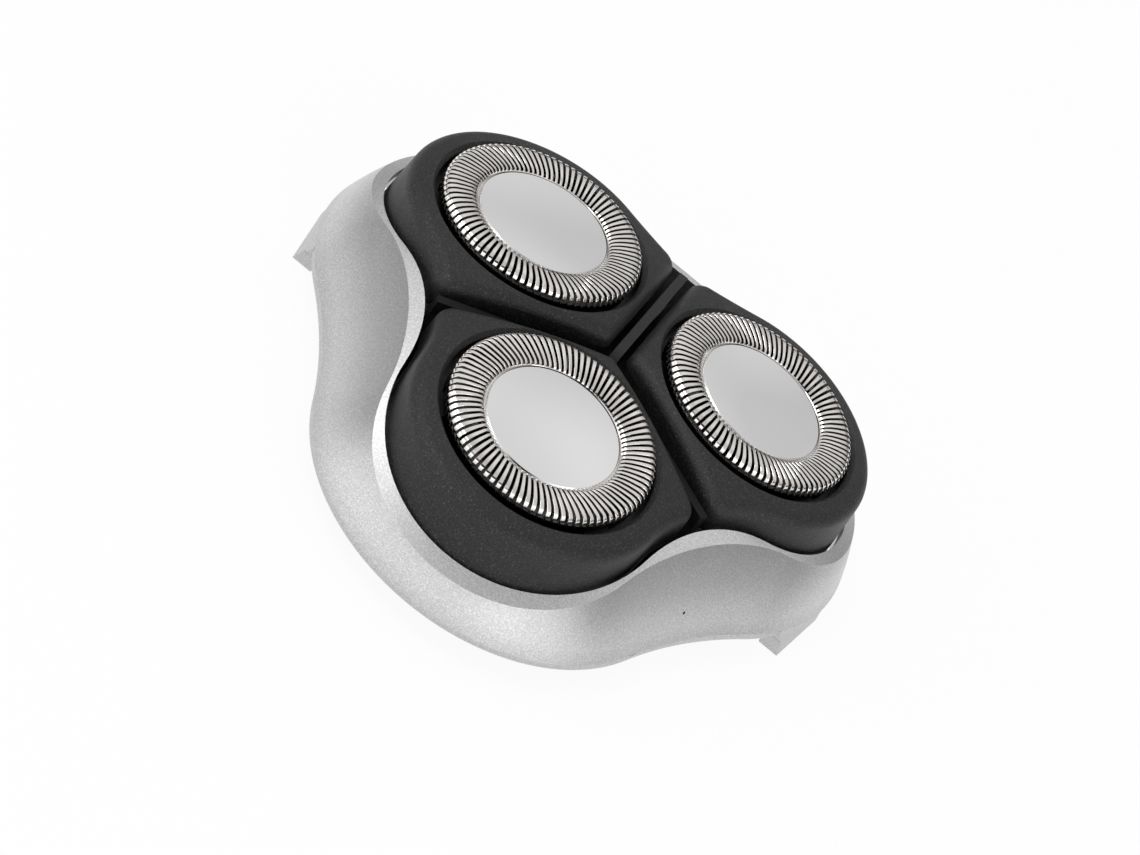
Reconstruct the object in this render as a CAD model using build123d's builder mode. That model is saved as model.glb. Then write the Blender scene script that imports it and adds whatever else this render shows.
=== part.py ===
"""Rotary shaver head: silver frame, three floating pods, slotted guards, cutters and their drive couplings.

Millimetres, Z up. The origin lies on the head axis in the plane of the two legs, at the mouth of the
handle socket. The front lobe points to -Y.
"""

import os
from math import atan2, cos, degrees, hypot, radians, sin, sqrt

from build123d import *

os.makedirs("parts", exist_ok=True)

# Layout of the three lobes
lobes = {"front": -90.0, "right": 30.0, "left": 150.0}
lobe_pitch = 120.0
cutter_tilt = 4.6
disc_height = 16.0

# Trim disc and slotted guard, radii and heights measured on the tilted cutter axis
disc_radius = 7.2
disc_thickness = 0.4
disc_clearance = 0.1
guard_radius = 11.15
guard_wall = 0.4
guard_top = 0.5
guard_edge = 0.45
track_thickness = 0.6
track_inner_radius = 7.8
recess_depth = 0.4
recess_floor_thickness = 0.4
guard_skirt_bottom = -2.25
guard_lug_reach = 1.05
guard_lug_width = 3.0
guard_lug_thickness = 0.4
guard_lug_count = 3
slot_count = 88
slot_width = 0.3
slot_inner_radius = 8.0
slot_offset = 2.3
axle_radius = 1.0
axle_tip = -3.2

# Rotating cutter and its drive coupling
running_clearance = 0.05
seat_clearance = 0.02
blade_count = 9
blade_inner_radius = 8.6
blade_side_clearance = 0.35
blade_thickness = 0.4
blade_lean = 25.0
blade_top_clearance = 0.15
cutter_plate_top = -2.0
cutter_plate_thickness = 0.3
cutter_plate_sides = 18
coupling_spigot_radius = 3.2
coupling_spigot_height = 0.9
coupling_flange_radius = 4.5
coupling_flange_thickness = 0.8
coupling_boss_radius = 3.0
coupling_bottom = -6.8
coupling_sides = 12
drive_socket_radius = 1.8
drive_socket_depth = 3.0
drive_key_width = 1.0
drive_key_depth = 0.5

# Pod shell, its crown and rim measured on the tilted cutter axis
pod_spacing = 2.4
pod_side_wall = 0.55
pod_wall_thickness = 2.45
pod_wall_base = 6.6
pod_wall_head = 18.0
pod_wall_draft = 0.93
pod_valley_draft = 0.5
pod_corner_radius = 2.0
pod_tip_radius = 1.4
pod_edge_radius = 1.5
pod_crown_radius = 65.0
pod_rim_height = -0.6
pod_mouth_clearance = 0.5
pod_mouth_chamfer = 0.45
pod_lip_thickness = 1.2
pod_bore_clearance = 0.25
pod_skirt_wall = 0.9
pod_skirt_bottom = -5.2
pod_underside_height = 14.2
dome_radius = 63.0

# Tilt bearings of the pods
pivot_height = -7.8
pivot_pin_radius = 0.9
pivot_lug_half_width = 1.9
pivot_lug_drop = 1.6
bearing_gap = 0.15
bearing_thickness = 1.0
bearing_rim = 0.95

# Retaining ring inside a pod
guard_float = 1.0
retainer_clearance = 0.15
retainer_thickness = 1.15
retainer_inner_radius = 8.2
retainer_bore_clearance = 0.05
retainer_outer_sides = 24
retainer_inner_sides = 12
retainer_tab_size = (1.2, 3.0, 1.0)

# Silver frame, each section as lobe centre, lobe radius and valley measured from the pod layout
frame_dome_height = 16.4
opening_section = (0.0, 0.2, 4.0)
pod_section = (0.0, 0.0, 3.4)
rim_height = 2.2
rim_section = (-3.6, 7.0, 11.0)
rim_edge_radius = 0.9
middle_height = 8.0
middle_section = (-1.8, 3.1, 8.0)
top_height = 14.0
top_section = (-1.6, -0.9, 4.6)
cavity_top_height = 10.8
cavity_top_section = (-1.2, 0.4, 6.3)
frame_wall = 1.7
leg_front = -2.1
leg_back = 6.4
leg_thickness = 2.3
leg_root_height = 3.4
leg_root_reach = (-0.75, 1.1)
leg_foot_reach = (0.4, 1.6)
leg_notch_radius = 1.0
leg_notch_rise = 0.1
leg_notch_steps = 4

# Carrier, screws and springs
plate_bottom = 3.6
plate_thickness = 1.4
plate_section = (0.0, 0.0, 6.8)
plate_hole_radius = 8.0
plate_hole_shift = -0.9
rib_thickness = 1.0
rib_reach = 3.0
rib_top = 13.8
boss_radius = 4.6
boss_top = 9.0
socket_radius = 3.0
socket_depth = 6.5
screw_reach = 5.2
screw_post_radius = 1.9
screw_radius = 0.7
screw_pilot_clearance = 0.05
screw_hole_clearance = 0.25
screw_head_radius = 1.6
screw_head_height = 1.2
screw_length = 5.4
screw_tip_clearance = 0.3
screw_slot_width = 0.4
screw_slot_depth = 0.4
spring_inner_edge = 9.3
spring_width = 2.0
spring_thickness = 0.3
spring_foot_half_length = 3.0
spring_half_length = 7.4
spring_gap = 0.05

# Derived sizes
far = 60.0
half_pitch = lobe_pitch / 2
guard_lug_radius = guard_radius + guard_lug_reach
blade_outer_radius = guard_radius - guard_wall - blade_side_clearance
pod_mouth_radius = guard_radius + pod_mouth_clearance
pod_rim_radius = pod_mouth_radius + pod_mouth_chamfer
pod_bore_radius = guard_lug_radius + pod_bore_clearance
pod_skirt_radius = pod_bore_radius + pod_skirt_wall
pod_wall_radius = pod_bore_radius + pod_wall_thickness
cutter_circle_radius = (pod_bore_radius + pod_side_wall + pod_spacing / 2) / sin(radians(half_pitch))
lobe_reach = cutter_circle_radius + pod_wall_radius
plate_hole_distance = cutter_circle_radius + plate_hole_shift
rib_length = cutter_circle_radius + rib_reach
screw_distance = cutter_circle_radius + screw_reach
plate_top = plate_bottom + plate_thickness
track_underside = guard_top - track_thickness
recess_floor = -disc_thickness
floor_underside = recess_floor - recess_floor_thickness
retainer_top = guard_skirt_bottom - guard_float - retainer_clearance
retainer_bottom = retainer_top - retainer_thickness
pod_lip_underside = pod_rim_height - pod_lip_thickness
pod_crown_centre = pod_rim_height - sqrt(pod_crown_radius**2 - pod_rim_radius**2)
cutter_plate_bottom = cutter_plate_top - cutter_plate_thickness
tilt = radians(cutter_tilt)
pivot_x = cutter_circle_radius + pivot_height * sin(tilt)
pivot_z = disc_height + pivot_height * cos(tilt)
bearing_inner = pod_skirt_radius + bearing_gap
valley_angles = [angle + half_pitch for angle in lobes.values()]

# Plane of a cutter whose lobe points to +X, and the section plane through its axis
cutter_plane = Plane(
    origin=(cutter_circle_radius, 0, disc_height),
    x_dir=(cos(tilt), 0, -sin(tilt)),
    z_dir=(sin(tilt), 0, cos(tilt)),
)
section_plane = Plane(origin=cutter_plane.origin, x_dir=cutter_plane.x_dir, z_dir=-cutter_plane.y_dir)
cutter_axis = Axis(cutter_plane.origin, cutter_plane.z_dir)


def polar(radius, angle):
    """Plan point at a radius and an angle in degrees."""
    return (radius * cos(radians(angle)), radius * sin(radians(angle)))


def dome_z(height, radius, distance):
    """Height of a dome at a distance from the head axis."""
    return height - radius + sqrt(radius**2 - distance**2)


def trefoil(section, first_angle, inset=0.0):
    """Outline of three lobes joined by valley arcs, which may curve inwards or outwards."""
    centre = cutter_circle_radius + section[0]
    lobe = pod_wall_radius + section[1] - inset
    valley = cutter_circle_radius + section[2] - inset
    reach = lobe**2 - valley**2 + valley * centre - centre**2
    bend = reach / (2 * valley - centre - 2 * lobe)
    bend_centre = valley + bend
    half_turn = radians(half_pitch)
    side = 1 if bend > 0 else -1
    across = side * bend_centre * sin(half_turn)
    along = side * (bend_centre * cos(half_turn) - centre)
    sweep = degrees(atan2(across, along))
    with BuildSketch() as outline:
        with BuildLine():
            for turn in range(3):
                angle = first_angle + turn * lobe_pitch
                hub = Vector(*polar(centre, angle))
                begin = hub + Vector(*polar(lobe, angle - sweep))
                middle = hub + Vector(*polar(lobe, angle))
                end = hub + Vector(*polar(lobe, angle + sweep))
                following = angle + lobe_pitch
                next_hub = Vector(*polar(centre, following))
                next_begin = next_hub + Vector(*polar(lobe, following - sweep))
                ThreePointArc(begin, middle, end)
                ThreePointArc(end, Vector(*polar(valley, angle + half_pitch)), next_begin)
        make_face()
    return outline.sketch


def is_upright(edge):
    """True for an edge that rises more than it runs outwards."""
    direction = edge.tangent_at(0.5)
    return abs(direction.Z) > abs(direction.X)


def export(part, label):
    """Write one labelled solid or group of solids to its STEP file."""
    part.label = label
    export_step(part, f"parts/{label}.step")


def export_per_lobe(part, name):
    """Write the three copies of a piece, one for each lobe."""
    for lobe, angle in lobes.items():
        export(part.rotate(Axis.Z, angle), f"{name}_{lobe}")


# Silver frame: lofted wall under a shallow dome, with the pod opening and two side legs
front = lobes["front"]
wall_outlines = [
    (rim_height, trefoil(rim_section, front)),
    (middle_height, trefoil(middle_section, front)),
    (top_height, trefoil(top_section, front)),
]
cavity_outlines = [
    (rim_height, trefoil(rim_section, front, frame_wall)),
    (middle_height, trefoil(middle_section, front, frame_wall)),
    (cavity_top_height, trefoil(cavity_top_section, front, frame_wall)),
]
opening_outline = trefoil(opening_section, front)

with BuildPart() as frame_wall_body:
    for height, outline in wall_outlines:
        with BuildSketch(Plane.XY.offset(height)):
            add(outline)
    loft()
    fillet(frame_wall_body.faces().sort_by(Axis.Z)[0].edges(), rim_edge_radius)
    with BuildSketch(Plane.XY):
        add(opening_outline)
    extrude(amount=far, mode=Mode.SUBTRACT)
    with Locations((0, 0, frame_dome_height - dome_radius)):
        Sphere(dome_radius, mode=Mode.INTERSECT)

with BuildPart() as frame_cavity:
    for height, outline in cavity_outlines:
        with BuildSketch(Plane.XY.offset(height)):
            add(outline)
    loft()
    with BuildSketch(Plane.XY.offset(plate_top)):
        for angle in valley_angles:
            with Locations(polar(screw_distance, angle)):
                Circle(screw_post_radius)
    extrude(amount=far, mode=Mode.SUBTRACT)

# Levels of a leg as height and front face, the front sweeping out to a rounded notch under the rim
notch_start = rim_height + leg_notch_rise - leg_notch_radius
leg_levels = [(0.0, leg_front)]
for step in range(leg_notch_steps):
    bend_angle = radians(90 * step / leg_notch_steps)
    bend_height = notch_start + leg_notch_radius * sin(bend_angle)
    leg_levels.append((bend_height, leg_front - leg_notch_radius * (1 - cos(bend_angle))))
leg_levels.append((leg_root_height, leg_front - leg_notch_radius))

with BuildPart() as frame_legs:
    for side in (1, -1):
        for height, front_face in leg_levels:
            share = height / leg_root_height
            front_reach, back_reach = [
                lobe_reach + foot + share * (root - foot)
                for foot, root in zip(leg_foot_reach, leg_root_reach)
            ]
            lean = (back_reach - front_reach) / (leg_back - leg_front)
            front_outer = front_reach + lean * (front_face - leg_front)
            with BuildSketch(Plane.XY.offset(height)):
                with BuildLine():
                    Polyline(
                        (side * (front_outer - leg_thickness), front_face),
                        (side * front_outer, front_face),
                        (side * back_reach, leg_back),
                        (side * (back_reach - leg_thickness), leg_back),
                        close=True,
                    )
                make_face()
        loft(ruled=True)

with BuildPart() as head_frame:
    add(frame_wall_body.part)
    add(frame_legs.part)
    add(frame_cavity.part, mode=Mode.SUBTRACT)
    with BuildSketch(Plane.XY.offset(plate_top)):
        for angle in valley_angles:
            with Locations(polar(screw_distance, angle)):
                Circle(screw_radius + screw_pilot_clearance)
    extrude(amount=screw_length - plate_thickness + screw_tip_clearance, mode=Mode.SUBTRACT)
export(head_frame.part, "head_frame")

# Carrier: plate with spindle holes, dividing ribs, pod bearings and the handle socket
plate_outline = trefoil(plate_section, front)
with BuildPart() as carrier:
    with BuildSketch(Plane.XY.offset(plate_bottom)):
        add(plate_outline)
        for angle in lobes.values():
            with Locations(polar(plate_hole_distance, angle)):
                Circle(plate_hole_radius, mode=Mode.SUBTRACT)
        for angle in valley_angles:
            with Locations(polar(screw_distance, angle)):
                Circle(screw_radius + screw_hole_clearance, mode=Mode.SUBTRACT)
    extrude(amount=plate_thickness)
    with BuildSketch(Plane.XY.offset(plate_bottom)):
        for angle in valley_angles:
            with Locations(Location((*polar(rib_length / 2, angle), 0), (0, 0, angle))):
                Rectangle(rib_length, rib_thickness)
    extrude(amount=rib_top - plate_bottom)
    with BuildSketch(Plane.XY):
        Circle(boss_radius)
    extrude(amount=boss_top)
    for angle in lobes.values():
        for side in (1, -1):
            bearing_start = Vector(pivot_x, side * bearing_inner, pivot_z).rotate(Axis.Z, angle)
            bearing_plane = Plane(
                origin=bearing_start,
                x_dir=Vector(-side, 0, 0).rotate(Axis.Z, angle),
                z_dir=Vector(0, side, 0).rotate(Axis.Z, angle),
            )
            with BuildSketch(bearing_plane):
                Circle(pivot_pin_radius + bearing_rim)
                with Locations((0, (plate_bottom - pivot_z) / 2)):
                    Rectangle(2 * (pivot_pin_radius + bearing_rim), pivot_z - plate_bottom)
                Circle(pivot_pin_radius + running_clearance, mode=Mode.SUBTRACT)
            extrude(amount=bearing_thickness)
    with BuildSketch(Plane.XY):
        Circle(socket_radius)
    extrude(amount=socket_depth, mode=Mode.SUBTRACT)
export(carrier.part, "carrier")

# Screws that hold the carrier to the frame, one group of three
with BuildPart() as carrier_screws:
    with BuildSketch(Plane.XY.offset(plate_bottom)):
        for angle in valley_angles:
            with Locations(polar(screw_distance, angle)):
                Circle(screw_head_radius)
    extrude(amount=-screw_head_height)
    with BuildSketch(Plane.XY.offset(plate_bottom)):
        for angle in valley_angles:
            with Locations(polar(screw_distance, angle)):
                Circle(screw_radius)
    extrude(amount=screw_length)
    with BuildSketch(Plane.XY.offset(plate_bottom - screw_head_height)):
        for angle in valley_angles:
            with Locations(polar(screw_distance, angle)):
                Rectangle(2 * screw_head_radius, screw_slot_width)
    extrude(amount=screw_slot_depth, mode=Mode.SUBTRACT)
export(carrier_screws.part, "carrier_screws")

# Wedge that parts a pod from its neighbours
wedge_tip = pod_spacing / 2 / sin(radians(half_pitch))
wedge_reach = far * cos(radians(half_pitch))
wedge_width = far * sin(radians(half_pitch))
with BuildSketch() as pod_wedge:
    with BuildLine():
        Polyline(
            (wedge_tip, 0),
            (wedge_tip + wedge_reach, wedge_width),
            (wedge_tip + wedge_reach, -wedge_width),
            close=True,
        )
    make_face()
    fillet(pod_wedge.vertices().sort_by(Axis.X)[0], pod_tip_radius)

# Pod block: drafted outer wall, flat sides along the gaps and rounded valley corners
draft_section = (pod_section[0], pod_section[1] - pod_wall_draft, pod_section[2] - pod_valley_draft)
pod_wall_outlines = [
    (pod_wall_base, trefoil(pod_section, 0.0)),
    (pod_wall_head, trefoil(draft_section, 0.0)),
]
with BuildPart() as pod_block:
    for height, outline in pod_wall_outlines:
        with BuildSketch(Plane.XY.offset(height)):
            add(outline)
    loft(ruled=True)
    extrude(pod_wedge.sketch, amount=far, mode=Mode.INTERSECT)
    uprights = pod_block.edges().filter_by(is_upright)
    side_uprights = uprights.filter_by(lambda edge: abs(edge.center().Y) > pod_bore_radius)
    fillet(side_uprights.sort_by(Axis.X)[:2], pod_corner_radius)

# Pod shell: gently crowned top with rounded edges, hollow below
with BuildPart() as pod_shell:
    add(pod_block.part)
    with Locations(Location(cutter_plane.origin + cutter_plane.z_dir * pod_crown_centre)):
        Sphere(pod_crown_radius, mode=Mode.INTERSECT)
    fillet(pod_shell.faces().sort_by(Axis.Z)[-1].edges(), pod_edge_radius)
    with Locations((0, 0, pod_underside_height - dome_radius)):
        Sphere(dome_radius, mode=Mode.SUBTRACT)

with BuildPart() as pod_skirt:
    with BuildSketch(cutter_plane.offset(pod_skirt_bottom)):
        Circle(pod_skirt_radius)
    extrude(amount=pod_lip_underside - pod_skirt_bottom)
    add(pod_block.part, mode=Mode.INTERSECT)

with BuildPart() as pod:
    add(pod_shell.part)
    add(pod_skirt.part)
    with BuildSketch(cutter_plane.offset(pod_lip_underside)):
        Circle(pod_bore_radius)
    extrude(amount=-far, mode=Mode.SUBTRACT)
    with BuildSketch(section_plane):
        with BuildLine():
            Polyline(
                (0, pod_lip_underside),
                (pod_mouth_radius, pod_lip_underside),
                (pod_mouth_radius, pod_rim_height - pod_mouth_chamfer),
                (pod_rim_radius, pod_rim_height),
                (pod_rim_radius, guard_radius),
                (0, guard_radius),
                close=True,
            )
        make_face()
    revolve(axis=cutter_axis, mode=Mode.SUBTRACT)
    for side in (1, -1):
        lug_plane = Plane(
            origin=(pivot_x, side * pod_bore_radius, pivot_z),
            x_dir=(-side, 0, 0),
            z_dir=(0, side, 0),
        )
        lug_top = disc_height + pod_skirt_bottom - pivot_z + pod_lip_thickness
        with BuildSketch(lug_plane):
            with BuildLine():
                Polyline(
                    (-pivot_lug_half_width, -pivot_lug_drop),
                    (pivot_lug_half_width, -pivot_lug_drop),
                    (pivot_lug_half_width, lug_top),
                    (-pivot_lug_half_width, lug_top),
                    close=True,
                )
            make_face()
        extrude(amount=pod_skirt_radius - pod_bore_radius)
        with BuildSketch(lug_plane.offset(pod_skirt_radius - pod_bore_radius)):
            Circle(pivot_pin_radius)
        extrude(amount=bearing_gap + bearing_thickness)
export_per_lobe(pod.part, "pod")

# Slotted guard: cup with a ring of slanted slots, retaining lugs and a centre axle
with BuildPart() as guard:
    with BuildSketch(section_plane):
        with BuildLine():
            Polyline(
                (0, recess_floor),
                (disc_radius + disc_clearance, recess_floor),
                (disc_radius + disc_clearance, recess_floor + recess_depth),
                (track_inner_radius, guard_top),
                (guard_radius - guard_edge, guard_top),
                (guard_radius, guard_top - guard_edge),
                (guard_radius, guard_skirt_bottom),
                (guard_radius - guard_wall, guard_skirt_bottom),
                (guard_radius - guard_wall, track_underside),
                (track_inner_radius + guard_wall, track_underside),
                (disc_radius + guard_wall, floor_underside),
                (axle_radius, floor_underside),
                (axle_radius, axle_tip),
                (0, axle_tip),
                close=True,
            )
        make_face()
    revolve(axis=cutter_axis)
    slot_start = sqrt(slot_inner_radius**2 - slot_offset**2)
    slot_length = guard_radius + slot_width - slot_start
    with BuildSketch(cutter_plane.offset(guard_top)):
        with PolarLocations(0, slot_count):
            with Locations((slot_start + slot_length / 2, -slot_offset)):
                Rectangle(slot_length, slot_width)
    extrude(amount=-track_thickness, mode=Mode.SUBTRACT)
    with BuildSketch(cutter_plane.offset(guard_skirt_bottom)):
        with PolarLocations(0, guard_lug_count, start_angle=half_pitch):
            with Locations(((guard_lug_radius + guard_radius - guard_wall) / 2, 0)):
                Rectangle(guard_lug_radius - guard_radius + guard_wall, guard_lug_width)
        Circle(guard_radius - guard_wall / 2, mode=Mode.SUBTRACT)
    extrude(amount=guard_lug_thickness)
export_per_lobe(guard.part, "guard")

# Polished trim disc in the middle of a guard
with BuildPart() as trim_disc:
    with BuildSketch(cutter_plane.offset(recess_floor)):
        Circle(disc_radius)
    extrude(amount=disc_thickness)
export_per_lobe(trim_disc.part, "trim_disc")

# Rotating cutter: plate with upright slanted blades that run under the track
with BuildPart() as cutter:
    with BuildSketch(cutter_plane.offset(cutter_plate_bottom)):
        RegularPolygon(blade_outer_radius, cutter_plate_sides)
        RegularPolygon(coupling_spigot_radius + seat_clearance, coupling_sides, mode=Mode.SUBTRACT)
    extrude(amount=cutter_plate_thickness)
    with BuildSketch(cutter_plane.offset(cutter_plate_bottom)):
        with PolarLocations((blade_inner_radius + blade_outer_radius) / 2 - blade_thickness, blade_count):
            Rectangle(blade_outer_radius - blade_inner_radius, blade_thickness, rotation=blade_lean)
    extrude(amount=track_underside - blade_top_clearance - cutter_plate_bottom)
export_per_lobe(cutter.part, "cutter")

# Drive coupling under the cutter: bearing for the axle above, keyed socket for the drive spindle below
with BuildPart() as drive_coupling:
    with BuildSketch(cutter_plane.offset(cutter_plate_bottom)):
        RegularPolygon(coupling_spigot_radius, coupling_sides)
    extrude(amount=coupling_spigot_height)
    with BuildSketch(cutter_plane.offset(cutter_plate_bottom)):
        RegularPolygon(coupling_flange_radius, coupling_sides)
    extrude(amount=-coupling_flange_thickness)
    with BuildSketch(cutter_plane.offset(coupling_bottom)):
        Circle(coupling_boss_radius)
    extrude(amount=cutter_plate_bottom - coupling_bottom)
    with BuildSketch(cutter_plane.offset(axle_tip - coupling_spigot_height / 2)):
        Circle(axle_radius + running_clearance)
    extrude(amount=far, mode=Mode.SUBTRACT)
    with BuildSketch(cutter_plane.offset(coupling_bottom)):
        Circle(drive_socket_radius)
        Rectangle(2 * (drive_socket_radius + drive_key_depth), drive_key_width)
    extrude(amount=drive_socket_depth, mode=Mode.SUBTRACT)
export_per_lobe(drive_coupling.part, "drive_coupling")

# Retaining ring that keeps guard and cutter in a pod
with BuildPart() as retainer_ring:
    with BuildSketch(cutter_plane.offset(retainer_bottom)):
        RegularPolygon(pod_bore_radius - retainer_bore_clearance, retainer_outer_sides)
        RegularPolygon(retainer_inner_radius, retainer_inner_sides, mode=Mode.SUBTRACT)
    extrude(amount=retainer_thickness)
    with BuildSketch(cutter_plane.offset(retainer_bottom)):
        for side in (1, -1):
            with Locations((side * (retainer_inner_radius + retainer_tab_size[0]), 0)):
                Rectangle(retainer_tab_size[0], retainer_tab_size[1])
    extrude(amount=-retainer_tab_size[2])
export_per_lobe(retainer_ring.part, "retainer_ring")

# Two bowed leaf springs under each pod, clipped to the carrier plate
spring_tip_radius = hypot(pivot_x + spring_half_length, spring_inner_edge + spring_width)
outer_rise = dome_z(pod_underside_height, dome_radius, spring_tip_radius) - plate_top - spring_gap
inner_tip = spring_half_length + cutter_circle_radius - pivot_x
inner_rise = disc_height + pod_skirt_bottom * cos(tilt) + inner_tip * sin(tilt) - plate_top - spring_thickness
with BuildPart() as pod_springs:
    for side in (1, -1):
        spring_plane = Plane(
            origin=(pivot_x, side * (spring_inner_edge + spring_width / 2), plate_top),
            x_dir=(1, 0, 0),
            z_dir=(0, -1, 0),
        )
        with BuildSketch(spring_plane):
            with BuildLine():
                Polyline(
                    (-spring_half_length, inner_rise - spring_thickness),
                    (-spring_foot_half_length, 0),
                    (spring_foot_half_length, 0),
                    (spring_half_length, outer_rise - spring_thickness),
                    (spring_half_length, outer_rise),
                    (spring_foot_half_length, spring_thickness),
                    (-spring_foot_half_length, spring_thickness),
                    (-spring_half_length, inner_rise),
                    close=True,
                )
            make_face()
        extrude(amount=spring_width / 2, both=True)
export_per_lobe(pod_springs.part, "pod_springs")
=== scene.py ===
"""Looks of a rotary shaver head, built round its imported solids.

Metres, Z up, in the frame of the solids. Sizes are written in millimetres and multiplied by MM.
"""

from math import cos, pi, radians, sin, sqrt

import bmesh
import bpy
from mathutils import Matrix, Vector


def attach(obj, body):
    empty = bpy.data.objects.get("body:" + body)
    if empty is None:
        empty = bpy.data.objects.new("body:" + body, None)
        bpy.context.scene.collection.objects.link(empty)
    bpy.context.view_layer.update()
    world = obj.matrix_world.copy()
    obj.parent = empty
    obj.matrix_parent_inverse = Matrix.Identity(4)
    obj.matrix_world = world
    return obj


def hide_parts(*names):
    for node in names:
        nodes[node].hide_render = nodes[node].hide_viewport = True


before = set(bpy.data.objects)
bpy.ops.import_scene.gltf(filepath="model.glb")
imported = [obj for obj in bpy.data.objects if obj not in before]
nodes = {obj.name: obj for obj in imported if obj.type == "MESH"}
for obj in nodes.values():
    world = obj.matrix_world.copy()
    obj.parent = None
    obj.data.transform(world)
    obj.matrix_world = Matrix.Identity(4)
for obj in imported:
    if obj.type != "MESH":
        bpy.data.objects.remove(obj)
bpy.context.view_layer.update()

MM = 0.001

# Layout of the three lobes, as in the solids
LOBES = {"front": -90.0, "right": 30.0, "left": 150.0}
LOBE_HALF_PITCH = 60.0
CUTTER_HALF_SPACING = 14.2
CUTTER_CIRCLE = CUTTER_HALF_SPACING / sin(radians(LOBE_HALF_PITCH))
CUTTER_TILT = 4.6
DISC_HEIGHT = 16.0

# Trim disc, on the tilted cutter axis
DISC_RADIUS = 7.2
DISC_THICKNESS = 0.4
DISC_BEVEL = 0.14
DISC_CROWN = 0.08
DISC_CROWN_STEPS = 6
DISC_SEGMENTS = 160
DISC_SHARP_ANGLE = 25.0

# Slotted guard, on the tilted cutter axis, with its outlines as radius and height
BAR_COUNT = 88
BAR_SHIFT = 0.5
BAR_WIDTH = 0.49
BAR_INNER_SHARE = 0.5
BAR_THICKNESS = 0.32
BAR_ROUNDING = 0.035
BAR_OFFSET = 2.3
BAR_ARCH = (
    (7.4, -0.14),
    (7.52, 0.04),
    (7.8, 0.19),
    (8.4, 0.31),
    (9.2, 0.36),
    (10.0, 0.35),
    (10.45, 0.28),
    (10.75, 0.14),
    (10.92, -0.08),
    (10.97, -0.35),
    (10.97, -0.8),
)
GUARD_SEGMENTS = 176
GUARD_SHARP_ANGLE = 40.0
GUARD_RIM = (
    (0.0, -0.42),
    (7.28, -0.42),
    (7.28, -0.14),
    (7.34, -0.08),
    (7.44, -0.1),
    (7.55, -0.3),
    (7.55, -0.8),
    (1.0, -0.8),
    (1.0, -3.15),
    (0.85, -3.2),
    (0.0, -3.2),
)
GUARD_SKIRT = (
    (10.75, -0.72),
    (10.9, -0.72),
    (11.0, -0.82),
    (11.0, -2.2),
    (10.95, -2.25),
    (10.75, -2.25),
)
LUG_COUNT = 3
LUG_REACH = (10.9, 12.2)
LUG_WIDTH = 3.0
LUG_HEIGHT = (-2.25, -1.85)

# Silver paint: flakes, painted shade that darkens up the wall, a painted highlight on the lands that face
# up, and one dark speck
FLAKE_TONES = ((0.34, 0.5), (0.5, 0.585), (0.66, 0.73))
WALL_PAINTED_SHADE_LEVELS = (3.0, 12.5)
WALL_PAINTED_SHADE_TONES = ((0.0, 0.84), (0.2, 1.0), (0.35, 0.95), (0.6, 0.76), (1.0, 0.6))
LAND_PAINTED_HIGHLIGHT_FACING = (0.8, 0.9)
LAND_PAINTED_HIGHLIGHT_TONES = ((0.5, 0.84), (0.95, 1.1))
SPECK_PLACE = (21.24, -13.84, 6.3)
SPECK_CORE = 0.14
SPECK_RADIUS = 0.2
SPECK_TONE = 0.01

# Black plastics: grain of the pods, and where the carrier turns from dull and darker with painted shade to
# shiny in Y and in Z
GRAIN_TONES = ((0.35, 0.003), (0.54, 0.01), (0.64, 0.032), (0.74, 0.11))
CARRIER_DULL_PAINTED_SHADE_TONES = ((0.3, 0.002), (0.7, 0.005))
CARRIER_GLOSSY_TONES = ((0.3, 0.014), (0.7, 0.022))
CARRIER_GLOSSY_UNSHADED_REARWARD = (0.5, 3.0)
CARRIER_GLOSSY_UNSHADED_DOWNWARD = (9.5, 8.5)

# Studio floor, a little below the legs, white to the camera and in reflections
FLOOR_HALF = 3.0
FLOOR_GAP = 0.02
FLOOR_TONE = 0.85
FLOOR_ROUGHNESS = 0.9
FLOOR_WHITE_SHARE = 0.93

# Studio surround: tones by height, strength from left to right, and the shade round the viewer
SURROUND_TONES = ((0.0, 0.06), (0.15, 0.2), (0.35, 0.6), (0.55, 0.75), (0.75, 0.82), (1.0, 0.6))
SURROUND_LEFT = 1.15
SURROUND_RIGHT = 0.95
VIEWER_SHADE_ANGLES = (26.0, 8.0)
VIEWER_SHADE_STRENGTH = 0.02

# Lamps: name, place and size in metres, and power in watts
LAMP_TARGET = (0, 0, 0.01)
LAMPS = (
    ("top_softbox", (-0.45, -0.1, 0.7), (0.4, 0.4), 1.8),
    ("left_softbox", (-0.65, -0.45, 0.25), (0.8, 0.5), 1.6),
    ("front_softbox", (0.1, -0.85, 0.2), (1.2, 0.45), 1.9),
    ("right_softbox", (0.75, -0.5, 0.3), (0.8, 0.6), 2.3),
)

# Camera: lens in pixels of the photograph, place in millimetres, angles in degrees, clipping in metres
IMAGE_WIDTH = 1140.0
FOCAL_PIXELS = 3858.9
SENSOR_WIDTH = 36.0
EYE = (6.365, -305.089, 245.833)
VIEW_AZIMUTH = 1.014
VIEW_ELEVATION = 38.382
VIEW_ROLL = 38.851
VIEW_CLIP = (0.01, 20.0)


# Meshes
def lobe_matrix(angle):
    """Place of a cutter axis whose lobe points to an angle, in metres."""
    place = Matrix.Translation((CUTTER_CIRCLE * MM, 0, DISC_HEIGHT * MM))
    tilt = Matrix.Rotation(radians(CUTTER_TILT), 4, "Y")
    return Matrix.Rotation(radians(angle), 4, "Z") @ place @ tilt


def new_object(name, mesh):
    """Link a mesh to the scene under a name."""
    made = bpy.data.objects.new(name, mesh)
    bpy.context.scene.collection.objects.link(made)
    return made


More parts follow.
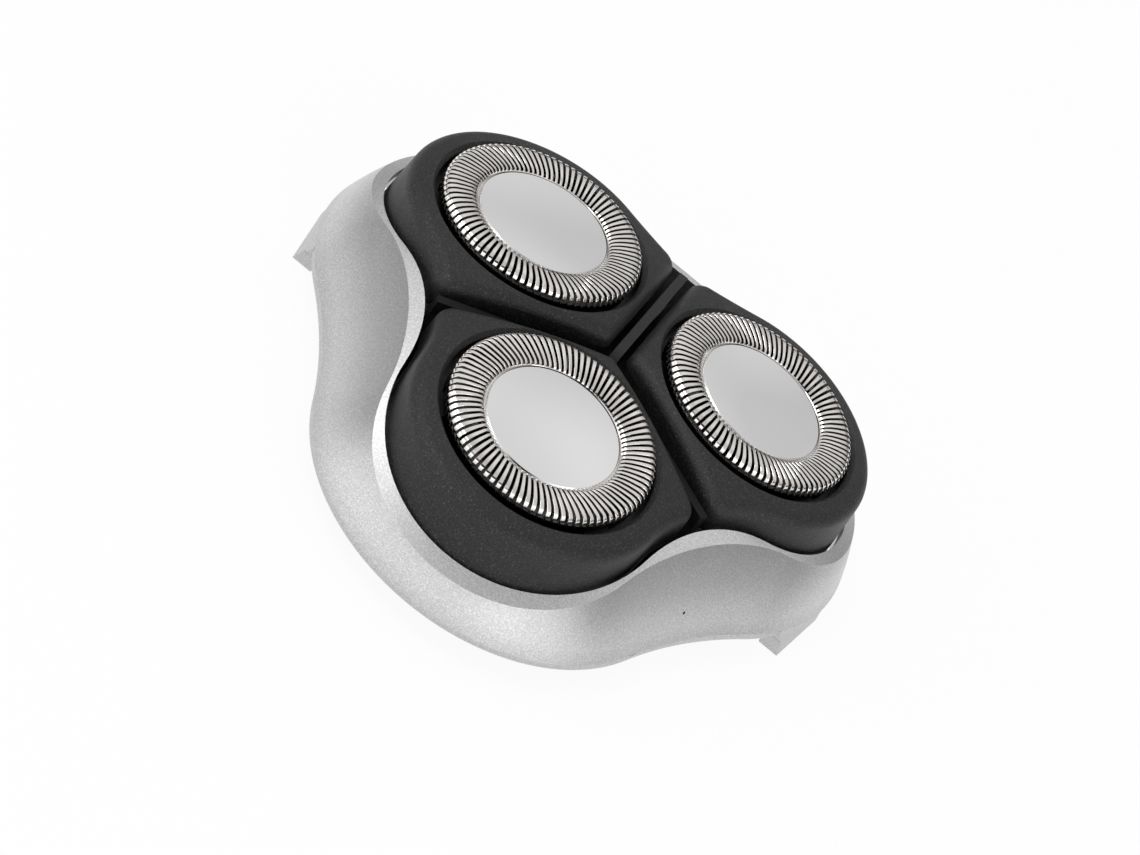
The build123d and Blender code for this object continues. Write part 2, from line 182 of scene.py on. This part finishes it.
def add_lathe(build, profile, segments, closed_loop):
    """Turn a profile of radius and height in millimetres about Z."""
    rings = []
    for radius, height in profile:
        if radius == 0:
            rings.append([build.verts.new((0, 0, height * MM))])
            continue
        ring = []
        for step in range(segments):
            turn = 2 * pi * step / segments
            ring.append(build.verts.new((radius * MM * cos(turn), radius * MM * sin(turn), height * MM)))
        rings.append(ring)
    pairs = list(zip(rings, rings[1:]))
    if closed_loop:
        pairs.append((rings[-1], rings[0]))
    for upper, lower in pairs:
        for step in range(segments):
            after = (step + 1) % segments
            corners = []
            for ring, place in ((upper, step), (lower, step), (lower, after), (upper, after)):
                vert = ring[place % len(ring)]
                if vert not in corners:
                    corners.append(vert)
            build.faces.new(corners)


def add_block(build, low, high, turn):
    """Add a plain block between two corners in millimetres, turned about Z."""
    made = bmesh.ops.create_cube(build, size=1.0)
    size = [(b - a) * MM for a, b in zip(low, high)]
    middle = [(a + b) / 2 * MM for a, b in zip(low, high)]
    place = Matrix.Rotation(turn, 4, "Z") @ Matrix.Translation(middle) @ Matrix.Diagonal((*size, 1))
    bmesh.ops.transform(build, matrix=place, verts=made["verts"])


def finish_mesh(build, name, sharp_angle):
    """Turn a bmesh into a smooth-shaded mesh with outward normals, sharp past an angle in degrees."""
    bmesh.ops.recalc_face_normals(build, faces=build.faces)
    mesh = bpy.data.meshes.new(name)
    build.to_mesh(mesh)
    build.free()
    mesh.shade_smooth()
    mesh.set_sharp_from_angle(angle=radians(sharp_angle))
    return mesh


# Material nodes
def grey(value, warmth=0.0):
    """Opaque neutral colour with a little warmth."""
    return (value * (1 + warmth), value, value * (1 - warmth), 1)


def feed(tree, socket, value):
    """Link a value to a socket, or set it there if it is a plain number or colour."""
    if isinstance(value, bpy.types.NodeSocket):
        tree.links.new(value, socket)
    else:
        socket.default_value = value


def start_material(name, metallic=0.0):
    """New node material with its node tree, shader and object coordinates."""
    material = bpy.data.materials.new(name)
    material.use_nodes = True
    tree = material.node_tree
    shader = tree.nodes["Principled BSDF"]
    shader.inputs["Metallic"].default_value = metallic
    coordinates = tree.nodes.new("ShaderNodeTexCoord")
    return material, tree, shader, coordinates.outputs["Object"]


def add_noise(tree, vector, scale, detail, roughness=0.5):
    """Noise texture on a vector, with a scale per metre."""
    noise = tree.nodes.new("ShaderNodeTexNoise")
    noise.inputs["Scale"].default_value = scale
    noise.inputs["Detail"].default_value = detail
    noise.inputs["Roughness"].default_value = roughness
    tree.links.new(vector, noise.inputs["Vector"])
    return noise.outputs["Fac"]


def add_ramp(tree, factor, stops):
    """Grey ramp through stops of position, tone and, where wanted, warmth."""
    ramp = tree.nodes.new("ShaderNodeValToRGB")
    elements = ramp.color_ramp.elements
    while len(elements) < len(stops):
        elements.new(0.5)
    for element, (position, *tone) in zip(elements, stops):
        element.position = position
        element.color = grey(*tone)
    tree.links.new(factor, ramp.inputs["Fac"])
    return ramp.outputs["Color"]


def add_range(tree, value, low, high, start=0.0, end=1.0, smooth=False):
    """Map a value between start and end to one between low and high."""
    mapped = tree.nodes.new("ShaderNodeMapRange")
    mapped.interpolation_type = "SMOOTHSTEP" if smooth else "LINEAR"
    for name, number in (("From Min", start), ("From Max", end), ("To Min", low), ("To Max", high)):
        mapped.inputs[name].default_value = number
    tree.links.new(value, mapped.inputs["Value"])
    return mapped.outputs["Result"]


def add_math(tree, operation, first, second):
    """Combine two values, either of which may be a plain number."""
    made = tree.nodes.new("ShaderNodeMath")
    made.operation = operation
    feed(tree, made.inputs[0], first)
    feed(tree, made.inputs[1], second)
    return made.outputs[0]


def add_measure(tree, operation, vector, fixed):
    """Distance or dot product between a vector and a fixed one."""
    made = tree.nodes.new("ShaderNodeVectorMath")
    made.operation = operation
    made.inputs[1].default_value = fixed
    tree.links.new(vector, made.inputs[0])
    return made.outputs["Value"]


def add_axis(tree, vector, axis):
    """One coordinate of a vector."""
    split = tree.nodes.new("ShaderNodeSeparateXYZ")
    tree.links.new(vector, split.inputs["Vector"])
    return split.outputs[axis]


def add_mix(tree, factor, first, second, kind="MIX"):
    """Blend two colours by a factor."""
    blend = tree.nodes.new("ShaderNodeMix")
    blend.data_type = "RGBA"
    blend.blend_type = kind
    feed(tree, blend.inputs[0], factor)
    feed(tree, blend.inputs[6], first)
    feed(tree, blend.inputs[7], second)
    return blend.outputs[2]


def add_bump(tree, shader, height, distance, strength):
    """Bump on a shader from a height field, distance in metres."""
    bump = tree.nodes.new("ShaderNodeBump")
    bump.inputs["Distance"].default_value = distance
    bump.inputs["Strength"].default_value = strength
    tree.links.new(height, bump.inputs["Height"])
    tree.links.new(bump.outputs["Normal"], shader.inputs["Normal"])


def add_white(tree, shown, lit, white, output):
    """Show plain white in place of a lit surface, by a share, at an output node."""
    mix = tree.nodes.new("ShaderNodeMixShader")
    tree.links.new(shown, mix.inputs["Fac"])
    tree.links.new(lit, mix.inputs[1])
    tree.links.new(white, mix.inputs[2])
    tree.links.new(mix.outputs["Shader"], tree.nodes[output].inputs["Surface"])


# Finishes
def silver_paint():
    """Satin silver paint with fine flakes, painted shade darker up the wall, a painted highlight on the
    lands that face up, with one dark speck.
    """
    material, tree, shader, place = start_material("silver_paint", metallic=0.8)
    flakes = add_noise(tree, place, scale=6200.0, detail=2.0, roughness=0.7)
    flake_tone = add_ramp(tree, flakes, FLAKE_TONES)
    # Painted light and shade by height: the colour is lighter low on the wall and darker towards the top
    low, high = WALL_PAINTED_SHADE_LEVELS
    level = add_range(tree, add_axis(tree, place, "Z"), 0.0, 1.0, start=low * MM, end=high * MM)
    # Painted highlight: surfaces that face up take a paler colour
    facing = tree.nodes.new("ShaderNodeNewGeometry")
    land_start, land_end = LAND_PAINTED_HIGHLIGHT_FACING
    upward = add_axis(tree, facing.outputs["Normal"], "Z")
    land_highlight = add_range(tree, upward, 0.0, 1.0, start=land_start, end=land_end)
    tone = add_mix(tree, land_highlight, add_ramp(tree, level, WALL_PAINTED_SHADE_TONES), add_ramp(tree, level, LAND_PAINTED_HIGHLIGHT_TONES))
    painted = add_mix(tree, 1.0, flake_tone, tone, "MULTIPLY")
    reach = add_measure(tree, "DISTANCE", place, Vector(SPECK_PLACE) * MM)
    clear = add_range(tree, reach, 0.0, 1.0, start=SPECK_CORE * MM, end=SPECK_RADIUS * MM)
    tree.links.new(add_mix(tree, clear, grey(SPECK_TONE), painted), shader.inputs["Base Color"])
    drift = add_noise(tree, place, scale=260.0, detail=3.0)
    tree.links.new(add_range(tree, drift, 0.32, 0.42), shader.inputs["Roughness"])
    add_bump(tree, shader, flakes, distance=0.00005, strength=0.3)
    return material


def black_plastic():
    """Matt black moulded plastic of the pods, with a fine grain and pale specks."""
    material, tree, shader, place = start_material("black_plastic")
    grain = add_noise(tree, place, scale=5400.0, detail=3.0, roughness=0.7)
    tree.links.new(add_ramp(tree, grain, GRAIN_TONES), shader.inputs["Base Color"])
    shader.inputs["Specular IOR Level"].default_value = 0.4
    drift = add_noise(tree, place, scale=420.0, detail=3.0)
    tree.links.new(add_range(tree, drift, 0.42, 0.56), shader.inputs["Roughness"])
    add_bump(tree, shader, grain, distance=0.0001, strength=0.6)
    return material


def polished_steel():
    """Bright steel of the guards, a little warm, with faint wear."""
    material, tree, shader, place = start_material("polished_steel", metallic=1.0)
    drift = add_noise(tree, place, scale=700.0, detail=4.0)
    colour = add_ramp(tree, drift, ((0.25, 0.68, 0.045), (0.75, 0.86, 0.03)))
    tree.links.new(colour, shader.inputs["Base Color"])
    tree.links.new(add_range(tree, drift, 0.06, 0.16), shader.inputs["Roughness"])
    return material


def mirror_steel():
    """Mirror-bright trim disc, softly clouded, with very fine rubbing marks."""
    material, tree, shader, place = start_material("mirror_steel", metallic=1.0)
    clouding = add_noise(tree, place, scale=75.0, detail=0.0)
    colour = add_ramp(tree, clouding, ((0.3, 0.7), (0.7, 0.86)))
    tree.links.new(colour, shader.inputs["Base Color"])
    rubbing = add_noise(tree, place, scale=3200.0, detail=5.0, roughness=0.7)
    tree.links.new(add_range(tree, rubbing, 0.1, 0.2), shader.inputs["Roughness"])
    return material


def ground_steel(name, dark, light):
    """Ground steel of the pieces under and round the guards; the much darker copies for the cutters and the
    skirt are painted shade.
    """
    material, tree, shader, place = start_material(name, metallic=1.0)
    grinding = add_noise(tree, place, scale=2400.0, detail=5.0, roughness=0.7)
    colour = add_ramp(tree, grinding, ((0.2, dark), (0.8, light)))
    tree.links.new(colour, shader.inputs["Base Color"])
    tree.links.new(add_range(tree, grinding, 0.2, 0.4), shader.inputs["Roughness"])
    add_bump(tree, shader, grinding, distance=0.00001, strength=0.3)
    return material


def moulded_plastic(name, dark, light, warmth):
    """Moulded plastic of the inner pieces."""
    material, tree, shader, place = start_material(name)
    grain = add_noise(tree, place, scale=3000.0, detail=4.0, roughness=0.6)
    colour = add_ramp(tree, grain, ((0.3, dark, warmth), (0.7, light, warmth)))
    tree.links.new(colour, shader.inputs["Base Color"])
    tree.links.new(add_range(tree, grain, 0.37, 0.53), shader.inputs["Roughness"])
    add_bump(tree, shader, grain, distance=0.00002, strength=0.25)
    return material


def carrier_moulding():
    """Black moulding of the carrier: shiny, and dull on the tops of the two ribs at the front, with a darker
    colour there that is painted shade.
    """
    material, tree, shader, place = start_material("carrier_plastic")
    shares = []
    for axis, (start, end) in (("Y", CARRIER_GLOSSY_UNSHADED_REARWARD), ("Z", CARRIER_GLOSSY_UNSHADED_DOWNWARD)):
        shares.append(add_range(tree, add_axis(tree, place, axis), 0.0, 1.0, start=start * MM, end=end * MM))
    glossy_unshaded = add_math(tree, "MAXIMUM", *shares)
    grain = add_noise(tree, place, scale=3000.0, detail=4.0, roughness=0.6)
    # Painted shade: the dull rib tops at the front take a darker colour than the rest of the carrier
    dull_painted_shade_tone = add_ramp(tree, grain, CARRIER_DULL_PAINTED_SHADE_TONES)
    glossy_tone = add_ramp(tree, grain, CARRIER_GLOSSY_TONES)
    tree.links.new(add_mix(tree, glossy_unshaded, dull_painted_shade_tone, glossy_tone), shader.inputs["Base Color"])
    shader.inputs["Specular IOR Level"].default_value = 0.25
    tree.links.new(add_range(tree, glossy_unshaded, 0.6, 0.2), shader.inputs["Roughness"])
    add_bump(tree, shader, grain, distance=0.00002, strength=0.25)
    return material


silver = silver_paint()
black = black_plastic()
guard_steel = polished_steel()
disc_steel = mirror_steel()
plated_steel = ground_steel("plated_steel", 0.42, 0.6)
# Painted shade: the cutters under the slots take a much darker copy of the ground steel
blade_painted_shade_steel = ground_steel("blade_painted_shade_steel", 0.07, 0.13)
# Painted shade: the guards' skirt and lugs take a much darker copy of the ground steel
skirt_painted_shade_steel = ground_steel("skirt_painted_shade_steel", 0.03, 0.06)
carrier_plastic = carrier_moulding()
coupling_plastic = moulded_plastic("coupling_plastic", 0.62, 0.7, warmth=0.02)
ring_plastic = moulded_plastic("ring_plastic", 0.03, 0.045, warmth=0.0)


def dress(node, material):
    """Give a CAD node its finish."""
    mesh = nodes[node].data
    mesh.materials.clear()
    mesh.materials.append(material)


dress("head_frame", silver)
dress("carrier", carrier_plastic)
dress("carrier_screws", plated_steel)
for lobe in LOBES:
    dress(f"pod_{lobe}", black)
    dress(f"cutter_{lobe}", blade_painted_shade_steel)
    dress(f"drive_coupling_{lobe}", coupling_plastic)
    dress(f"retainer_ring_{lobe}", ring_plastic)
    dress(f"pod_springs_{lobe}", plated_steel)


# Trim discs
def trim_disc_mesh():
    """Thin disc with a slight crown and a polished bevel, about its own axis."""
    build = bmesh.new()
    edge = DISC_RADIUS - DISC_BEVEL
    profile = [(0, 0.0)]
    for step in range(1, DISC_CROWN_STEPS + 1):
        share = step / DISC_CROWN_STEPS
        profile.append((edge * share, -DISC_CROWN * share**2))
    profile.append((DISC_RADIUS, -DISC_CROWN - DISC_BEVEL))
    profile.append((DISC_RADIUS, -DISC_THICKNESS))
    profile.append((0, -DISC_THICKNESS))
    add_lathe(build, profile, DISC_SEGMENTS, False)
    mesh = finish_mesh(build, "trim_disc", DISC_SHARP_ANGLE)
    mesh.materials.append(disc_steel)
    return mesh


# Slotted guards
def guard_bar_tree():
    """Node tree that sets slanted rounded bars round a guard, all sizes in metres."""
    tree = bpy.data.node_groups.new("guard_bars", "GeometryNodeTree")
    sockets = {}
    for name, kind in (
        ("Bar Arch", "NodeSocketGeometry"),
        ("Bar Count", "NodeSocketInt"),
        ("Bar Width", "NodeSocketFloat"),
        ("Inner Share", "NodeSocketFloat"),
        ("Bar Thickness", "NodeSocketFloat"),
        ("Bar Rounding", "NodeSocketFloat"),
        ("Finish", "NodeSocketMaterial"),
    ):
        sockets[name] = tree.interface.new_socket(name, in_out="INPUT", socket_type=kind).identifier
    tree.interface.new_socket("Guard Bars", in_out="OUTPUT", socket_type="NodeSocketGeometry")
    add = tree.nodes.new
    link = tree.links.new
    inputs = add("NodeGroupInput")

    # One bar: a rounded section swept along the arch, narrower at its inner end
    path = add("GeometryNodeMeshToCurve")
    link(inputs.outputs["Bar Arch"], path.inputs["Mesh"])
    upright = add("GeometryNodeSetCurveNormal")
    upright.mode = "Z_UP"
    link(path.outputs["Curve"], upright.inputs["Curve"])
    section = add("GeometryNodeCurvePrimitiveQuadrilateral")
    link(inputs.outputs["Bar Width"], section.inputs["Width"])
    link(inputs.outputs["Bar Thickness"], section.inputs["Height"])
    rounded = add("GeometryNodeFilletCurve")
    link(section.outputs["Curve"], rounded.inputs["Curve"])
    link(inputs.outputs["Bar Rounding"], rounded.inputs["Radius"])
    along = add("GeometryNodeSplineParameter")
    widen = add("ShaderNodeMapRange")
    widen.inputs["To Max"].default_value = 1.0
    link(along.outputs["Factor"], widen.inputs["Value"])
    link(inputs.outputs["Inner Share"], widen.inputs["To Min"])
    bar = add("GeometryNodeCurveToMesh")
    bar.inputs["Fill Caps"].default_value = True
    link(widen.outputs["Result"], bar.inputs["Scale"])
    link(upright.outputs["Curve"], bar.inputs["Curve"])
    link(rounded.outputs["Curve"], bar.inputs["Profile Curve"])
    smooth = add("GeometryNodeSetShadeSmooth")
    link(bar.outputs["Mesh"], smooth.inputs["Geometry"])

    # All bars: equal turns about the guard's axis
    posts = add("GeometryNodePoints")
    link(inputs.outputs["Bar Count"], posts.inputs["Count"])
    index = add("GeometryNodeInputIndex")
    order = add_math(tree, "ADD", index.outputs["Index"], BAR_SHIFT)
    pitch = add_math(tree, "DIVIDE", 2 * pi, inputs.outputs["Bar Count"])
    about_axis = add("ShaderNodeCombineXYZ")
    link(add_math(tree, "MULTIPLY", order, pitch), about_axis.inputs["Z"])
    spread = add("GeometryNodeInstanceOnPoints")
    link(posts.outputs["Points"], spread.inputs["Points"])
    link(smooth.outputs["Geometry"], spread.inputs["Instance"])
    link(about_axis.outputs["Vector"], spread.inputs["Rotation"])
    real = add("GeometryNodeRealizeInstances")
    link(spread.outputs["Instances"], real.inputs["Geometry"])
    finish = add("GeometryNodeSetMaterial")
    link(real.outputs["Geometry"], finish.inputs["Geometry"])
    link(inputs.outputs["Finish"], finish.inputs["Material"])
    output = add("NodeGroupOutput")
    link(finish.outputs["Geometry"], output.inputs["Guard Bars"])
    return tree, sockets


def guard_bars_mesh():
    """Plain mesh of all bars of one guard, about its own axis."""
    tree, sockets = guard_bar_tree()
    arch = []
    for radius, height in BAR_ARCH:
        outward = sqrt(radius**2 - BAR_OFFSET**2)
        arch.append((outward * MM, -BAR_OFFSET * MM, height * MM))
    arch_mesh = bpy.data.meshes.new("bar_arch")
    arch_mesh.from_pydata(arch, [(step, step + 1) for step in range(len(arch) - 1)], [])
    holder = new_object("guard_bars_maker", arch_mesh)
    modifier = holder.modifiers.new("guard_bars", "NODES")
    modifier.node_group = tree
    values = {
        "Bar Count": BAR_COUNT,
        "Bar Width": BAR_WIDTH * MM,
        "Inner Share": BAR_INNER_SHARE,
        "Bar Thickness": BAR_THICKNESS * MM,
        "Bar Rounding": BAR_ROUNDING * MM,
        "Finish": guard_steel,
    }
    for name, value in values.items():
        modifier[sockets[name]] = value
    graph = bpy.context.evaluated_depsgraph_get()
    mesh = bpy.data.meshes.new_from_object(holder.evaluated_get(graph), depsgraph=graph)
    bpy.data.objects.remove(holder)
    return mesh


def guard_body_mesh(bars):
    """Whole guard about its own axis: bright bars and cup with axle, skirt and retaining lugs in a darker
    steel that is painted shade.
    """
    build = bmesh.new()
    build.from_mesh(bars)
    add_lathe(build, GUARD_RIM, GUARD_SEGMENTS, False)
    bright_faces = len(build.faces)
    add_lathe(build, GUARD_SKIRT, GUARD_SEGMENTS, True)
    for lug in range(LUG_COUNT):
        turn = pi / LUG_COUNT + 2 * pi * lug / LUG_COUNT
        low = (LUG_REACH[0], -LUG_WIDTH / 2, LUG_HEIGHT[0])
        high = (LUG_REACH[1], LUG_WIDTH / 2, LUG_HEIGHT[1])
        add_block(build, low, high, turn)
    for order, face in enumerate(build.faces):
        face.material_index = 0 if order < bright_faces else 1
    mesh = finish_mesh(build, "slotted_guard", GUARD_SHARP_ANGLE)
    mesh.materials.append(guard_steel)
    mesh.materials.append(skirt_painted_shade_steel)
    return mesh


disc_mesh = trim_disc_mesh()
guard_mesh = guard_body_mesh(guard_bars_mesh())
for lobe, angle in LOBES.items():
    place = lobe_matrix(angle)
    for name, mesh, node, slot in (
        (f"polished_disc_{lobe}", disc_mesh, f"trim_disc_{lobe}", "disc_steel"),
        (f"slotted_guard_{lobe}", guard_mesh, f"guard_{lobe}", "guard_steel"),
    ):
        piece = new_object(name, mesh.copy())
        piece.data.transform(place)
        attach(piece, f"guard_{lobe}_body")
        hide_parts(node)


# Floor, light and camera
def floor_finish():
    """White floor that shows white to the camera and in metal, and keeps a faint shadow."""
    material = bpy.data.materials.new("studio_floor")
    material.use_nodes = True
    tree = material.node_tree
    shader = tree.nodes["Principled BSDF"]
    shader.inputs["Base Color"].default_value = grey(FLOOR_TONE)
    shader.inputs["Roughness"].default_value = FLOOR_ROUGHNESS
    white = tree.nodes.new("ShaderNodeEmission")
    white.inputs["Color"].default_value = grey(1.0)
    seen = tree.nodes.new("ShaderNodeLightPath").outputs
    mirrored = add_math(tree, "MAXIMUM", seen["Is Glossy Ray"], seen["Is Transmission Ray"])
    shown = add_math(tree, "MAXIMUM", seen["Is Camera Ray"], mirrored)
    share = add_math(tree, "MULTIPLY", shown, FLOOR_WHITE_SHARE)
    add_white(tree, share, shader.outputs["BSDF"], white.outputs["Emission"], "Material Output")
    return material


def studio_floor():
    """Level floor that takes no part in the model."""
    build = bmesh.new()
    bmesh.ops.create_grid(build, x_segments=4, y_segments=4, size=FLOOR_HALF)
    mesh = bpy.data.meshes.new("studio_floor")
    build.to_mesh(mesh)
    build.free()
    mesh.materials.append(floor_finish())
    mesh.transform(Matrix.Translation((0, 0, -FLOOR_GAP * MM)))
    new_object("studio_floor", mesh)


def studio_world():
    """Soft surround: dim at the horizon, bright overhead, dark round the viewer, stronger on the left."""
    world = bpy.data.worlds.new("studio")
    bpy.context.scene.world = world
    world.use_nodes = True
    tree = world.node_tree
    surround = tree.nodes["Background"]
    direction = tree.nodes.new("ShaderNodeTexCoord").outputs["Generated"]
    shade = add_ramp(tree, add_axis(tree, direction, "Z"), SURROUND_TONES)
    across = add_axis(tree, direction, "X")
    lean = add_range(tree, across, SURROUND_LEFT, SURROUND_RIGHT, start=-1.0)
    nearness = add_measure(tree, "DOT_PRODUCT", direction, Vector(EYE).normalized())
    start, end = [cos(radians(angle)) for angle in VIEWER_SHADE_ANGLES]
    viewer = add_range(tree, nearness, 1.0, VIEWER_SHADE_STRENGTH, start=start, end=end, smooth=True)
    tree.links.new(shade, surround.inputs["Color"])
    tree.links.new(add_math(tree, "MULTIPLY", lean, viewer), surround.inputs["Strength"])
    seen = tree.nodes.new("ShaderNodeLightPath").outputs
    white = tree.nodes.new("ShaderNodeBackground")
    white.inputs["Color"].default_value = grey(1.0)
    lit = surround.outputs["Background"]
    add_white(tree, seen["Is Camera Ray"], lit, white.outputs["Background"], "World Output")


def soft_lamp(name, place, size, power):
    """Area lamp that faces the head, in metres and watts."""
    data = bpy.data.lights.new(name, "AREA")
    data.shape = "RECTANGLE"
    data.size, data.size_y = size
    data.energy = power
    lamp = bpy.data.objects.new(name, data)
    lamp.location = place
    lamp.rotation_euler = (Vector(LAMP_TARGET) - Vector(place)).to_track_quat("-Z", "Y").to_euler()
    bpy.context.scene.collection.objects.link(lamp)


def photo_camera():
    """Camera at the photograph's place and turn."""
    azimuth = radians(VIEW_AZIMUTH)
    elevation = radians(VIEW_ELEVATION)
    forward = Vector((-sin(azimuth) * cos(elevation), cos(azimuth) * cos(elevation), -sin(elevation)))
    level = forward.cross(Vector((0, 0, 1))).normalized()
    upright = level.cross(forward)
    roll = radians(VIEW_ROLL)
    right = level * cos(roll) + upright * sin(roll)
    up = right.cross(forward)
    data = bpy.data.cameras.new("photo_camera")
    data.sensor_width = SENSOR_WIDTH
    data.lens = FOCAL_PIXELS * SENSOR_WIDTH / IMAGE_WIDTH
    data.clip_start, data.clip_end = VIEW_CLIP
    camera = bpy.data.objects.new("photo_camera", data)
    bpy.context.scene.collection.objects.link(camera)
    turn = Matrix((right, up, -forward)).transposed()
    camera.matrix_world = Matrix.Translation(Vector(EYE) * MM) @ turn.to_4x4()
    bpy.context.scene.camera = camera


studio_floor()
studio_world()
for lamp_values in LAMPS:
    soft_lamp(*lamp_values)
photo_camera()
bpy.context.scene.view_settings.view_transform = "Standard"
